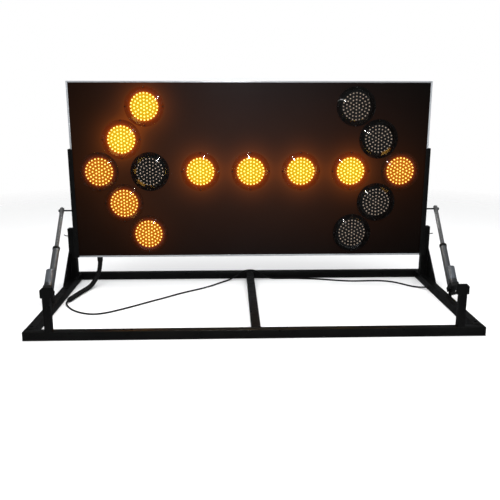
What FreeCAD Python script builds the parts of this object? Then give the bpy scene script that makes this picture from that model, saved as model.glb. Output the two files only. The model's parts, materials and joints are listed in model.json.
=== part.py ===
import FreeCAD, Part
import math
import os

# Tilting arrow board on a flat welded tube base, with an electric actuator at each end.
# Origin: middle of the base's footprint, on the ground. +X runs along the board, +Y from its
# lamp face to its back, +Z is up. Millimetres. The board stands upright, its working position.

# Base frame
BASE_WIDTH, BASE_DEPTH = 1910.0, 926.0
TUBE, TUBE_WALL = 38.0, 2.5
END_CAP = 2.0
MOUNT_HOLE_R, MOUNT_HOLE_X, MOUNT_HOLE_Y = 6.5, 936.0, 395.0

# Front posts and the cradles that the folded board rests on
FRONT_POST, FRONT_POST_X, FRONT_POST_TOP = 30.0, 849.0, 182.0
CRADLE_IN, CRADLE_OUT, CRADLE_TOP = 818.0, 871.0, 227.0
SEAT_T, CRADLE_T, CRADLE_CHAMFER = 5.0, 4.0, 12.0
PAD_TOP = 190.6

# Rear posts and hinge
REAR_POST_FRONT, REAR_POST_TOP = 335.0, 303.0
HINGE_Y, HINGE_Z, HINGE_PIN_R = 354.0, 262.0, 8.0
RUNNING_GAP = 0.05
GUSSET_T, GUSSET_LENGTH, GUSSET_HEIGHT = 6.0, 158.0, 149.0

# Board cabinet
BOARD_WIDTH, BOARD_BOTTOM, BOARD_TOP = 1800.0, 163.0, 1047.0
BOARD_FRONT, BOARD_DEPTH = 283.0, 70.0
LIP, SHEET = 8.0, 2.0
RIB_X, RIB_WIDTH, RIB_T = (-381.0, -127.0, 127.0, 381.0), 25.0, 1.5
ARM_T, ARM_TOP, ARM_LIP = 12.0, 718.0, 4.0
ARM_BOLT_Z = (330.0, 480.0, 570.0, 690.0)

# Lamps: pitch along the middle row, and the arrow heads' places beside the board's centre
LAMP_PITCH = 254.0
HEAD_NEAR, HEAD_FAR = (644.0, 160.0), (525.0, 320.0)
LAMP_R, CUP_R, CUP_DEPTH, LAMP_SCREW_R = 97.5, 75.0, 34.0, 93.0
COVER_BASE_R, COVER_TOP_R, COVER_HEIGHT, COVER_T = 88.0, 63.0, 28.0, 2.0
LED_R, LED_HEIGHT, LED_RINGS, LED_PITCH = 4.0, 8.0, 4, 16.3

# Actuators: pin centres in the plane X = ACTUATOR_X, and lengths from the lower pin
ACTUATOR_X = 970.0
LOWER_PIN_Y, LOWER_PIN_Z = -14.0, 45.0
UPPER_PIN_Y, UPPER_PIN_Z = 315.0, 403.0
GEARBOX_FROM, GEARBOX_TO = 14.0, 34.0
MOTOR_TO, MOTOR_R, MOTOR_OFFSET = 122.0, 20.0, 38.0
BARREL_TO, BARREL_R, BARREL_WALL = 266.0, 16.5, 2.5
COLLAR_FROM, COLLAR_TO, COLLAR_R = 256.0, 272.0, 18.0
NUT_FROM, NUT_TO, SCREW_TO, SCREW_R = 233.0, 255.0, 258.0, 5.0
PISTON_R, PISTON_END_R, PIVOT_R = 10.0, 11.0, 4.0
STUD_END, PIVOT_BOLT_FROM, PIVOT_BOLT_TO = 958.0, 958.6, 986.0

# Conduit from the cabinet to the ground, and the lead along the base
CONDUIT_D, LEAD_D = 24.0, 8.0
GLAND_X, GLAND_Y, GLAND_SWEEP_R = -790.0, 318.0, 134.0
CONDUIT_ROUTE = [
    (-790, 318, 133), (-793, 318, 104), (-800, 310, 71), (-812, 294, 43.5), (-826, 270, 23),
    (-839, 241, 12.8), (-850, 206, 12), (-868, 138, 12), (-882, 78, 12), (-888, 50, 12),
]
LEAD_ROUTE = [
    (-893.5, 25, 12), (-896, 1, 9), (-884, -28, 5), (-864, -60, 4.2), (-836, -98, 4.2),
    (-792, -134, 4.2), (-735, -155, 4.2), (-680, -136, 4.2), (-628, -96, 4.2),
    (-560, -36, 4.2), (-500, 22, 4.2), (-428, 86, 4.2), (-352, 160, 4.2), (-276, 216, 4.2),
    (-212, 272, 4.2), (-160, 336, 4.2), (-110, 392, 4.2), (-72, 407, 20), (-30, 410, 52),
    (30, 411, 52), (74, 409, 20), (118, 407, 4.2), (206, 410, 4.2), (290, 402, 4.2),
    (376, 390, 4.2), (470, 358, 4.2), (556, 342, 4.2), (640, 348, 4.2), (714, 346, 4.2),
    (770, 322, 4.2), (808, 282, 4.2), (838, 244, 4.2), (868, 222, 5), (892, 200, 9),
    (910, 192, 12),
]
GROMMET_T, GROMMET_R = 7.0, 9.0


def vec(x, y, z):
    return FreeCAD.Vector(x, y, z)


def box(x, y, z):
    """A box from three (low, high) pairs."""
    size = [high - low for low, high in (x, y, z)]
    return Part.makeBox(*size, vec(x[0], y[0], z[0]))


def rod_x(x0, x1, y, z, radius):
    return Part.makeCylinder(radius, x1 - x0, vec(x0, y, z), vec(1, 0, 0))


def rod_z(z0, z1, x, y, radius):
    return Part.makeCylinder(radius, z1 - z0, vec(x, y, z0), vec(0, 0, 1))


def plate(outline, thickness):
    """A flat plate: outline is a list of points in one plane, thickness a vector."""
    return Part.Face(Part.makePolygon([vec(*p) for p in outline + outline[:1]])).extrude(thickness)


def turned(profile):
    """A solid of revolution about the Y axis; profile holds (radius, y) points."""
    points = [vec(r, y, 0) for r, y in profile]
    face = Part.Face(Part.makePolygon(points + points[:1]))
    return face.revolve(vec(0, 0, 0), vec(0, 1, 0), 360)


def mirrored(shape):
    return shape.mirror(vec(0, 0, 0), vec(1, 0, 0))


def both_sides(shape):
    return Part.makeCompound([shape, mirrored(shape)])


def square_tube(x, y, z, along):
    """A rectangular tube with open ends; along is 0, 1 or 2 for X, Y or Z."""
    inner = [
        (low, high) if axis == along else (low + TUBE_WALL, high - TUBE_WALL)
        for axis, (low, high) in enumerate((x, y, z))
    ]
    return box(x, y, z).cut(box(*inner))


def hexagon_x(x0, x1, y, z, across_flats):
    radius = across_flats / math.sqrt(3)
    angles = [math.radians(60 * i) for i in range(6)]
    outline = [(x0, y + radius * math.cos(a), z + radius * math.sin(a)) for a in angles]
    return plate(outline, vec(x1 - x0, 0, 0))


def rounded_path(route):
    """Straight runs joined by tangent arcs, each as large as its two runs allow."""
    points = [vec(*p) for p in route]
    edges, at, tightest = [], points[0], math.inf
    for before, corner, after in zip(points, points[1:], points[2:]):
        back, on = before - corner, after - corner
        run = min(back.Length, on.Length)
        back.normalize()
        on.normalize()
        half_turn = (math.pi - back.getAngle(on)) / 2
        reach = 0.45 * run
        radius = reach / math.tan(half_turn)
        tightest = min(tightest, radius)
        start, end = corner + back * reach, corner + on * reach
        bisector = (back + on).normalize()
        centre_gap = radius / math.cos(half_turn)
        middle = corner + bisector * (centre_gap - radius)
        edges += [Part.LineSegment(at, start).toShape(), Part.Arc(start, middle, end).toShape()]
        at = end
    edges.append(Part.LineSegment(at, points[-1]).toShape())
    return Part.Wire(edges), tightest


def round_wire(route, diameter, name):
    """A round cord or wire along a route; prints its length and tightest bend."""
    path, tightest = rounded_path(route)
    start = vec(*route[0])
    heading = vec(*route[1]) - start
    section = Part.Wire([Part.makeCircle(diameter / 2, start, heading)])
    solid = path.makePipeShell([section], True, False)
    expected = math.pi * diameter**2 / 4 * path.Length
    print(
        f"{name}: length {path.Length:.0f}, tightest bend {tightest:.0f}, "
        f"volume {solid.Volume / expected:.4f} of section times length, valid {solid.isValid()}"
    )
    return solid


def base_parts():
    half, back, inside = BASE_WIDTH / 2, BASE_DEPTH / 2, BASE_DEPTH / 2 - TUBE
    rail_end = half - END_CAP
    height = (0, TUBE)
    parts = {
        "front_rail": square_tube((-rail_end, rail_end), (-back, -inside), height, 0),
        "rear_rail": square_tube((-rail_end, rail_end), (inside, back), height, 0),
        "centre_rail": square_tube((-TUBE / 2, TUBE / 2), (-inside, inside), height, 1),
    }
    side = square_tube((half - TUBE, half), (-inside, inside), height, 1)
    for y in (-MOUNT_HOLE_Y, MOUNT_HOLE_Y):
        side = side.cut(rod_z(-1, TUBE + 1, MOUNT_HOLE_X, y, MOUNT_HOLE_R))
    parts["left_side_rail"] = mirrored(side)
    gland_y, gland_z = LEAD_ROUTE[-1][1:]
    parts["right_side_rail"] = side.cut(
        rod_x(half - TUBE - 1, half - TUBE + TUBE_WALL, gland_y, gland_z, GROMMET_R - 3)
    )
    caps = []
    for y0 in (-back, inside):
        cover = box((rail_end, half), (y0, y0 + TUBE), height)
        inset = (y0 + TUBE_WALL, y0 + TUBE - TUBE_WALL), (TUBE_WALL, TUBE - TUBE_WALL)
        caps.append(cover.fuse(box((rail_end - 10, rail_end), *inset)))
    parts["rail_end_caps"] = Part.makeCompound(caps + [mirrored(c) for c in caps])
    return parts


def front_post_parts():
    front = -BASE_DEPTH / 2
    x = (FRONT_POST_X - FRONT_POST / 2, FRONT_POST_X + FRONT_POST / 2)
    post = square_tube(x, (front, front + FRONT_POST), (TUBE, FRONT_POST_TOP), 2)
    seat_top = FRONT_POST_TOP + SEAT_T
    seat = box((CRADLE_IN, CRADLE_OUT), (front, front + 32), (FRONT_POST_TOP, seat_top))
    tongue = box(x, (front + 32, front + 62), (FRONT_POST_TOP, seat_top))
    outline = [
        (CRADLE_IN, front, seat_top), (CRADLE_OUT, front, seat_top),
        (CRADLE_OUT, front, CRADLE_TOP - CRADLE_CHAMFER),
        (CRADLE_OUT - CRADLE_CHAMFER, front, CRADLE_TOP), (CRADLE_IN, front, CRADLE_TOP),
    ]
    stop = plate(outline, vec(0, CRADLE_T, 0))
    pad = box(x, (front + 6, front + 60), (seat_top, PAD_TOP))
    return {
        "front_posts": both_sides(post),
        "cradles": both_sides(seat.fuse([tongue, stop]).removeSplitter()),
        "cradle_pads": both_sides(pad),
    }


def rear_post_parts():
    half, inner = BASE_WIDTH / 2, BASE_WIDTH / 2 - TUBE
    y = (REAR_POST_FRONT, REAR_POST_FRONT + TUBE)
    bush_r = HINGE_PIN_R + 3
    post = square_tube((inner, half), y, (TUBE, REAR_POST_TOP - END_CAP), 2)
    post = post.cut(rod_x(inner - 1, half + 1, HINGE_Y, HINGE_Z, bush_r))
    cap = box((inner, half), y, (REAR_POST_TOP - END_CAP, REAR_POST_TOP))
    plug = box(
        (inner + TUBE_WALL, half - TUBE_WALL),
        (y[0] + TUBE_WALL, y[1] - TUBE_WALL),
        (REAR_POST_TOP - 12, REAR_POST_TOP - END_CAP),
    )
    bush = rod_x(inner, half, HINGE_Y, HINGE_Z, bush_r)
    bush = bush.fuse(rod_x(inner - 2, inner, HINGE_Y, HINGE_Z, 15))
    bush = bush.cut(rod_x(inner - 3, half + 1, HINGE_Y, HINGE_Z, HINGE_PIN_R + RUNNING_GAP))
    outline = [
        (half - GUSSET_T, y[0] - GUSSET_LENGTH, TUBE), (half - GUSSET_T, y[0], TUBE),
        (half - GUSSET_T, y[0], TUBE + GUSSET_HEIGHT),
    ]
    return {
        "rear_posts": both_sides(post),
        "post_caps": both_sides(cap.fuse(plug)),
        "hinge_bushes": both_sides(bush.removeSplitter()),
        "gusset_plates": both_sides(plate(outline, vec(GUSSET_T, 0, 0))),
    }


def lower_pivot_parts():
    half = BASE_WIDTH / 2
    y, z, lug_r, pin_r = LOWER_PIN_Y, LOWER_PIN_Z, 13.0, 5.0
    lug = box((half, half + 8), (y - lug_r, y + lug_r), (4, z))
    lug = lug.fuse(rod_x(half, half + 8, y, z, lug_r)).removeSplitter()
    pin = rod_x(half, 978, y, z, pin_r).fuse(hexagon_x(978, 985, y, z, 17))
    return {
        "actuator_lugs": both_sides(lug.cut(rod_x(half, half + 8, y, z, pin_r))),
        "lower_pivot_pins": both_sides(pin.removeSplitter()),
    }


def hinge_parts():
    """Pins pressed into the arms, their washers and the pull hooks in their outer ends."""
    half, arm_in = BASE_WIDTH / 2, BOARD_WIDTH / 2
    arm_out, pin_end = arm_in + ARM_T, half + 2
    pin = rod_x(arm_in, pin_end, HINGE_Y, HINGE_Z, HINGE_PIN_R)
    washer = rod_x(arm_out, half - TUBE - 2, HINGE_Y, HINGE_Z, 15)
    washer = washer.cut(rod_x(arm_out, half, HINGE_Y, HINGE_Z, HINGE_PIN_R))
    hook_up = [(pin_end, 0, 0), (pin_end + 8, 0, 0), (pin_end + 16, 0, 1), (pin_end + 21, 0, 7)]
    hook_back = [(x, z, 0) for x, _, z in hook_up]
    hooks = []
    for side, hook in ((-1, hook_up), (1, hook_back)):
        route = [(side * x, HINGE_Y + y, HINGE_Z + z) for x, y, z in hook]
        hooks.append(round_wire(route, 5.0, "pin hook"))
    return {
        "hinge_pins": both_sides(pin),
        "hinge_washers": both_sides(washer),
        "pin_hooks": Part.makeCompound(hooks),
    }


def frame_member(corners, inner, front, depth):
    """One mitred cabinet edge: a web with a lip at its front and one at its back.

    corners and inner are the (x, z) ends of the member's outer line and of its lip's inner line.
    """
    def strip(share, y0, y1):
        inside = [
            (c[0] + (i[0] - c[0]) * share, c[1] + (i[1] - c[1]) * share)
            for c, i in zip(corners, inner)
        ]
        ring = list(corners) + inside[::-1]
        return plate([(x, y0, z) for x, z in ring], vec(0, y1 - y0, 0))

    web = strip(SHEET / LIP, front, front + depth)
    lips = [strip(1.0, front, front + SHEET), strip(1.0, front + depth - SHEET, front + depth)]
    return web.fuse(lips).removeSplitter()


def arm_bolt_holes():
    x = BOARD_WIDTH / 2
    return [rod_x(x - 10, x + ARM_T + 1, BOARD_FRONT + 32, z, 4.2) for z in ARM_BOLT_Z]


def cabinet_parts():
    half = BOARD_WIDTH / 2
    front, back = BOARD_FRONT, BOARD_FRONT + BOARD_DEPTH
    low, high = BOARD_BOTTOM, BOARD_TOP
    outer = [(-half, low), (half, low), (half, high), (-half, high)]
    inner = [(-half + LIP, low + LIP), (half - LIP, low + LIP)]
    inner += [(half - LIP, high - LIP), (-half + LIP, high - LIP)]
    names = ("bottom_frame", "right_frame", "top_frame", "left_frame")
    parts = {}
    for i, name in enumerate(names):
        j = (i + 1) % 4
        parts[name] = frame_member([outer[i], outer[j]], [inner[i], inner[j]], front, BOARD_DEPTH)
    holes = arm_bolt_holes()
    parts["right_frame"] = parts["right_frame"].cut(holes)
    parts["left_frame"] = parts["left_frame"].cut([mirrored(h) for h in holes])
    gland_hole = rod_z(low - 1, low + SHEET + 1, GLAND_X, GLAND_Y, 10)
    parts["bottom_frame"] = parts["bottom_frame"].cut(gland_hole)

    edge = SHEET + 0.5
    span_x, span_z = (-half + edge, half - edge), (low + edge, high - edge)
    face = box(span_x, (front + SHEET, front + 2 * SHEET), span_z)
    cutters = []
    for x, z in lamp_centres():
        cutters.append(Part.makeCylinder(CUP_R, 20, vec(x, front - 5, z), vec(0, 1, 0)))
        for sx, sz in lamp_screw_places(x, z):
            cutters.append(Part.makeCylinder(2.1, 20, vec(sx, front - 5, sz), vec(0, 1, 0)))
    parts["face_panel"] = face.cut(Part.makeCompound(cutters))
    cover = box(span_x, (back - 2 * SHEET, back - SHEET), span_z)
    screws, holes = [], []
    for x, z in back_screw_places():
        holes.append(Part.makeCylinder(2, 3 * SHEET, vec(x, back - 3 * SHEET, z), vec(0, 1, 0)))
        shank = Part.makeCylinder(2, 8, vec(x, back - 8, z), vec(0, 1, 0))
        head = Part.makeCylinder(3.8, 2.2, vec(x, back, z), vec(0, 1, 0))
        screws.append(shank.fuse(head))
    holes = Part.makeCompound(holes)
    parts["back_panel"] = cover.cut(holes)
    for name in names:
        parts[name] = parts[name].cut(holes)
    parts["back_screws"] = Part.makeCompound(screws)

    inside = (front + 2 * SHEET, back - 2 * SHEET)
    ribs = []
    for x in RIB_X:
        web = box((x, x + RIB_T), inside, (low + SHEET, high - SHEET))
        for y in (inside[0], inside[1] - RIB_T):
            web = web.fuse(box((x, x + RIB_WIDTH), (y, y + RIB_T), (low + SHEET, high - SHEET)))
        ribs.append(web.removeSplitter())
    parts["panel_ribs"] = Part.makeCompound(ribs)

    cleats = []
    for sx in (-1, 1):
        for z, sz in ((low + SHEET, 1), (high - SHEET, -1)):
            x = sx * (half - SHEET)
            long_x, thin_x = sorted((x, x - sx * 34)), sorted((x, x - sx * 3))
            long_z, thin_z = sorted((z, z + sz * 34)), sorted((z, z + sz * 3))
            leg_y = (inside[0] + 10, inside[1] - 10)
            cleats.append(
                box(long_x, leg_y, thin_z).fuse(box(thin_x, leg_y, long_z)).removeSplitter()
            )
    parts["corner_cleats"] = Part.makeCompound(cleats)
    parts["flasher_box"] = box((-760, -612), (inside[1] - 44, inside[1]), (180, 270))
    return parts


def back_screw_places():
    """Screws through the back lips, at an even pitch along all four edges."""
    half, inset = BOARD_WIDTH / 2, 5.5
    low, high = BOARD_BOTTOM + inset, BOARD_TOP - inset
    along = [-775 + 310 * i for i in range(6)]
    up = [BOARD_BOTTOM + 620 + 110 * i for i in range(3)]
    places = [(x, z) for x in along for z in (low, high)]
    return places + [(sx * (half - inset), z) for z in up for sx in (-1, 1)]


def arm_parts():
    """A flat steel arm along each end of the cabinet; it carries the hinge pin and the stud."""
    inner, outer = BOARD_WIDTH / 2, BOARD_WIDTH / 2 + ARM_T
    front, back = BOARD_FRONT - ARM_LIP, BOARD_FRONT + BOARD_DEPTH + ARM_LIP
    z = (BOARD_BOTTOM, ARM_TOP)
    bar = box((inner, outer), (front, back), z)
    lips = [
        box((inner - 12, inner), (front, BOARD_FRONT), z),
        box((inner - 28, inner), (BOARD_FRONT + BOARD_DEPTH, back), z),
        rod_x(inner, outer, HINGE_Y, HINGE_Z, 24),
    ]
    arm = bar.fuse(lips).removeSplitter()
    arm = arm.cut(rod_x(inner - 30, outer + 1, HINGE_Y, HINGE_Z, HINGE_PIN_R))
    arm = arm.cut(rod_x(inner - 1, outer + 1, UPPER_PIN_Y, UPPER_PIN_Z, PIVOT_R))
    arm = arm.cut(arm_bolt_holes())
    bolts = []
    for bolt_z in ARM_BOLT_Z:
        y = BOARD_FRONT + 32
        bolt = rod_x(inner - 12, outer, y, bolt_z, 4).fuse(hexagon_x(outer, outer + 5, y, bolt_z, 13))
        nut = hexagon_x(inner - SHEET - 6.5, inner - SHEET, y, bolt_z, 13)
        bolts += [bolt, nut.cut(rod_x(inner - 12, outer, y, bolt_z, 4 + RUNNING_GAP))]
    stud = rod_x(inner, STUD_END, UPPER_PIN_Y, UPPER_PIN_Z, PIVOT_R)
    return {
        "left_arm": mirrored(arm),
        "right_arm": arm,
        "arm_bolts": Part.makeCompound(bolts + [mirrored(b) for b in bolts]),
        "actuator_studs": both_sides(stud),
    }


def lamp_centres(lit=None):
    """Lamp centres as (x, z); lit picks the lamps that show a left arrow, or the others."""
    middle = (BOARD_BOTTOM + BOARD_TOP) / 2
    head = [(x, s * z) for x, z in (HEAD_NEAR, HEAD_FAR) for s in (-1, 1)]
    burning = [(-x, z) for x, z in head] + [(LAMP_PITCH * i, 0) for i in (-3, -1, 0, 1, 2, 3)]
    dark = head + [(-2 * LAMP_PITCH, 0)]
    chosen = {None: burning + dark, True: burning, False: dark}[lit]
    return [(x, middle + z) for x, z in chosen]


def lamp_screw_places(x, z):
    turns = [math.radians(90 * i) for i in range(4)]
    return [(x + LAMP_SCREW_R * math.cos(a), z + LAMP_SCREW_R * math.sin(a)) for a in turns]


def at_lamps(shape, centres):
    """A copy of a shape that was made about the axis x = z = 0, at each lamp centre."""
    copies = []
    for x, z in centres:
        copy = shape.copy()
        copy.translate(vec(x, 0, z))
        copies.append(copy)
    return Part.makeCompound(copies)


def lamp_parts():
    panel_front = BOARD_FRONT + SHEET
    rim, ledge_y = panel_front - 4, panel_front + 2.6
    housing = turned([
        (CUP_R - 6, ledge_y), (CUP_R - 3, ledge_y), (CUP_R - 3, rim), (LAMP_R, rim),
        (LAMP_R, panel_front), (CUP_R, panel_front), (CUP_R, rim + CUP_DEPTH), (0, rim + CUP_DEPTH),
        (0, rim + CUP_DEPTH - 3), (CUP_R - 6, rim + CUP_DEPTH - 3),
    ])
    board = Part.makeCylinder(CUP_R - 3.2, 1.6, vec(0, ledge_y - 1.6, 0), vec(0, 1, 0))
    foot, top = rim - COVER_T, rim - COVER_HEIGHT
    cover = turned([
        (COVER_BASE_R - 4, rim), (COVER_BASE_R - 4, foot), (COVER_TOP_R - 1, top + COVER_T),
        (0, top + COVER_T), (0, top), (COVER_TOP_R, top), (COVER_BASE_R, foot),
        (LAMP_R - 0.5, foot), (LAMP_R - 0.5, rim),
    ])
    holes, screws = [], []
    for x, z in lamp_screw_places(0, 0):
        holes.append(Part.makeCylinder(2.1, 12, vec(x, foot - 2, z), vec(0, 1, 0)))
        shank = Part.makeCylinder(2, 14, vec(x, foot, z), vec(0, 1, 0))
        head = Part.makeCylinder(3.6, 2.4, vec(x, foot - 2.4, z), vec(0, 1, 0))
        screws.append(shank.fuse(head))
    leds = []
    led_foot = ledge_y - 1.6
    led = turned([
        (0, led_foot), (LED_R, led_foot), (LED_R, led_foot - LED_HEIGHT + 2.6),
        (LED_R - 1.4, led_foot - LED_HEIGHT + 0.6), (0, led_foot - LED_HEIGHT),
    ])
    for x, z in led_places():
        copy = led.copy()
        copy.translate(vec(x, 0, z))
        leds.append(copy)
    cluster, centres = Part.makeCompound(leds), lamp_centres()
    return {
        "lamp_housings": at_lamps(housing.cut(holes), centres),
        "lamp_circuit_boards": at_lamps(board, centres),
        "lamp_covers": at_lamps(cover.cut(holes), centres),
        "lamp_screws": at_lamps(Part.makeCompound(screws), centres),
        "lit_leds": at_lamps(cluster, lamp_centres(lit=True)),
        "unlit_leds": at_lamps(cluster, lamp_centres(lit=False)),
    }


def led_places():
    places = [(0.0, 0.0)]
    for ring in range(1, LED_RINGS + 1):
        for i in range(6 * ring):
            angle = math.radians(90 + 60 * i / ring)
            places.append((ring * LED_PITCH * math.cos(angle), ring * LED_PITCH * math.sin(angle)))
    return places


def actuator_parts(side):
    """One actuator, built upright about Z from its lower pin, then leaned to the upper pin."""
    gear = box((-20, 20), (-58, 18), (GEARBOX_FROM, GEARBOX_TO))
    gear = gear.makeFillet(6, [e for e in gear.Edges if abs(e.tangentAt(e.FirstParameter).z) > 0.9])
    eye = rod_x(-6.8, 6.8, 0, 0, 11).fuse(box((-6.8, 6.8), (-11, 11), (0, GEARBOX_FROM)))
    gear = gear.fuse(eye).removeSplitter()
    gear = gear.cut(rod_x(-7, 7, 0, 0, 5 + RUNNING_GAP))
    gear = gear.cut(rod_z(GEARBOX_FROM + 6, GEARBOX_TO, 0, 0, SCREW_R + RUNNING_GAP))
    motor = rod_z(GEARBOX_TO, MOTOR_TO, 0, -MOTOR_OFFSET, MOTOR_R)
    motor = motor.makeFillet(2.5, [e for e in motor.Edges if abs(e.BoundBox.ZMin - MOTOR_TO) < 0.01])
    barrel = rod_z(GEARBOX_TO, BARREL_TO, 0, 0, BARREL_R)
    barrel = barrel.cut(rod_z(GEARBOX_TO, BARREL_TO, 0, 0, BARREL_R - BARREL_WALL))
    collar = rod_z(COLLAR_FROM, COLLAR_TO, 0, 0, COLLAR_R)
    collar = collar.cut(rod_z(COLLAR_FROM, BARREL_TO, 0, 0, BARREL_R))
    collar = collar.cut(rod_z(BARREL_TO, COLLAR_TO, 0, 0, PISTON_R + RUNNING_GAP))
    screw = rod_z(GEARBOX_FROM + 6.5, SCREW_TO, 0, 0, SCREW_R)

    reach = math.hypot(UPPER_PIN_Y - LOWER_PIN_Y, UPPER_PIN_Z - LOWER_PIN_Z)
    piston = rod_z(NUT_TO, reach - 15, 0, 0, PISTON_R)
    head = rod_z(reach - 15, reach + 16, 0, 0, PISTON_END_R)
    head = head.makeChamfer(3, [e for e in head.Edges if abs(e.BoundBox.ZMin - reach - 16) < 0.01])
    piston = piston.fuse(head).cut(rod_z(NUT_TO, reach - 26, 0, 0, SCREW_R + 1))
    piston = piston.cut(rod_x(-20, 20, 0, reach, PIVOT_R))
    nut = rod_z(NUT_FROM, NUT_TO, 0, 0, BARREL_R - BARREL_WALL - 0.2)
    nut = nut.cut(rod_z(NUT_FROM, NUT_TO, 0, 0, SCREW_R + RUNNING_GAP))
    shank = rod_x(PIVOT_BOLT_FROM - ACTUATOR_X, 12, 0, reach, PIVOT_R)
    bolt = shank.fuse(hexagon_x(PISTON_END_R, PIVOT_BOLT_TO - ACTUATOR_X, 0, reach, 13))

    lean = math.atan2(UPPER_PIN_Y - LOWER_PIN_Y, UPPER_PIN_Z - LOWER_PIN_Z)
    turn = FreeCAD.Rotation(vec(1, 0, 0), -math.degrees(lean))
    place = FreeCAD.Placement(vec(ACTUATOR_X, LOWER_PIN_Y, LOWER_PIN_Z), turn)
    pieces = {
        "gearbox": gear, "motor": motor, "barrel": barrel, "barrel_collar": collar,
        "lead_screw": screw, "piston_rod": piston, "drive_nut": nut,
        "pivot_bolt": bolt.removeSplitter(),
    }
    placed = {}
    for name, piece in pieces.items():
        piece.Placement = place.multiply(piece.Placement)
        placed[f"{side}_{name}"] = piece if side == "right" else mirrored(piece)
    return placed


def cable_parts():
    sweep = rod_x(GLAND_X - 60, GLAND_X + 60, HINGE_Y, HINGE_Z, GLAND_SWEEP_R + RUNNING_GAP)
    inside = rod_x(GLAND_X - 60, GLAND_X + 60, HINGE_Y, HINGE_Z, GLAND_SWEEP_R)
    gland = rod_z(120, BOARD_BOTTOM, GLAND_X, GLAND_Y, 15)
    gland = gland.common(inside).fuse(rod_z(BOARD_BOTTOM, BOARD_BOTTOM + 12, GLAND_X, GLAND_Y, 10))
    conduit = round_wire(CONDUIT_ROUTE, CONDUIT_D, "conduit").cut(sweep)
    start, tip = vec(*CONDUIT_ROUTE[-1]), vec(*LEAD_ROUTE[0])
    fitting = Part.makeCone(CONDUIT_D / 2, 7, (tip - start).Length, start, tip - start)
    lead = round_wire(LEAD_ROUTE, LEAD_D, "lead")
    y, z = LEAD_ROUTE[-1][1:]
    face = BASE_WIDTH / 2 - TUBE
    grommet = rod_x(face - GROMMET_T, face, y, z, GROMMET_R)
    grommet = grommet.fuse(rod_x(face, face + TUBE_WALL, y, z, GROMMET_R - 3))
    return {
        "board_gland": gland.removeSplitter(),
        "conduit": conduit,
        "conduit_end_fitting": fitting,
        "actuator_lead": lead,
        "rail_grommet": grommet.removeSplitter(),
    }


def main():
    os.makedirs("parts", exist_ok=True)
    parts = {}
    for group in (
        base_parts(), front_post_parts(), rear_post_parts(), lower_pivot_parts(), hinge_parts(),
        cabinet_parts(), arm_parts(), lamp_parts(), actuator_parts("left"),
        actuator_parts("right"), cable_parts(),
    ):
        parts.update(group)
    for name, shape in parts.items():
        if not all(s.isValid() and s.Volume > 0 for s in shape.Solids):
            print("check the solids of", name)
        shape.exportStep(f"parts/{name}.step")
    print(len(parts), "nodes", sum(len(s.Solids) for s in parts.values()), "solids")


main()
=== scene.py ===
"""Looks of a folding arrow board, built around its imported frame. Metres, in the frame's axes."""
import json
import math

import bmesh
import bpy
from mathutils import Matrix, Vector


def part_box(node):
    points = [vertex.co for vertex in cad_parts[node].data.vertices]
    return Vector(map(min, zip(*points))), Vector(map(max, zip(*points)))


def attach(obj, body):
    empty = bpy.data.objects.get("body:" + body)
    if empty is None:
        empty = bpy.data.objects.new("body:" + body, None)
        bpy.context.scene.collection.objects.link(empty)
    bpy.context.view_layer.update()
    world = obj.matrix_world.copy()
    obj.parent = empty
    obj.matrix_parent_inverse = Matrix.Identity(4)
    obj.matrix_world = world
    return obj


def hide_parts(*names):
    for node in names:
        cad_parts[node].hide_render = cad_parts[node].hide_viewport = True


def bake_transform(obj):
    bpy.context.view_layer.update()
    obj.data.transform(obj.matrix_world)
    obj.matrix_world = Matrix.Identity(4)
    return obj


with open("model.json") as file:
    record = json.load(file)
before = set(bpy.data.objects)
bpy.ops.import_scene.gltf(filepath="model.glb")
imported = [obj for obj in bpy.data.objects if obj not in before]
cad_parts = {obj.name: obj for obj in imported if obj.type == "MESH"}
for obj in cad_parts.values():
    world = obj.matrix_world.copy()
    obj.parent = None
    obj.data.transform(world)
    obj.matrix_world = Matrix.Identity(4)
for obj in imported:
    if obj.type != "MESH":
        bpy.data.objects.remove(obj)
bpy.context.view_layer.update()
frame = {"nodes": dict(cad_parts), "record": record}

nodes, record = frame["nodes"], frame["record"]
slot_of = {part["node"]: part["material_slot"] for part in record["subparts"]}
body_of = {n: body for body, held in record["behaviour"]["bodies"].items() for n in held}
MM = 0.001

# The view: a camera in front of the board, a little to its left and level with its top
CAMERA_PLACE = Vector((-0.1035, -2.8564, 0.9550))
CAMERA_DOWN, CAMERA_RIGHT = math.radians(13.593), math.radians(1.820)
CAMERA_LENS = 44.60

# Lamps: sizes as in the frame, and centres as (x, z) for a left arrow. The fainter ones get dimmer,
# more orange diodes and glow: painted dimming for the lamps seen most from the side, where their beam
# is weaker.
LAMP_PITCH, ARROW_HEAD = 0.254, [(0.644, 0.160), (0.525, 0.320)]
LED_RINGS, LED_PITCH, LED_R = 4, 0.0163, 0.004
CUP_R, COVER_BASE_R, COVER_TOP_R, LAMP_R = 0.075, 0.088, 0.063, 0.0975
LAMP_SCREW_R, LAMP_SCREWS = 0.093, 4
MIDDLE = (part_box("top_frame")[1].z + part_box("bottom_frame")[0].z) / 2
RIGHT_HEAD = [(x, MIDDLE + side * z) for x, z in ARROW_HEAD for side in (-1, 1)]
LEFT_HEAD = [(-x, z) for x, z in RIGHT_HEAD]
SHAFT = [(LAMP_PITCH * i, MIDDLE) for i in (-3, -1, 0, 1, 2, 3)]
LIT_LAMPS = LEFT_HEAD + SHAFT
DARK_LAMPS = RIGHT_HEAD + [(LAMP_PITCH * -2, MIDDLE)]
FAINT_LAMPS = [lamp for lamp in LEFT_HEAD if lamp[1] < MIDDLE] + [SHAFT[0], SHAFT[-1]]

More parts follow.
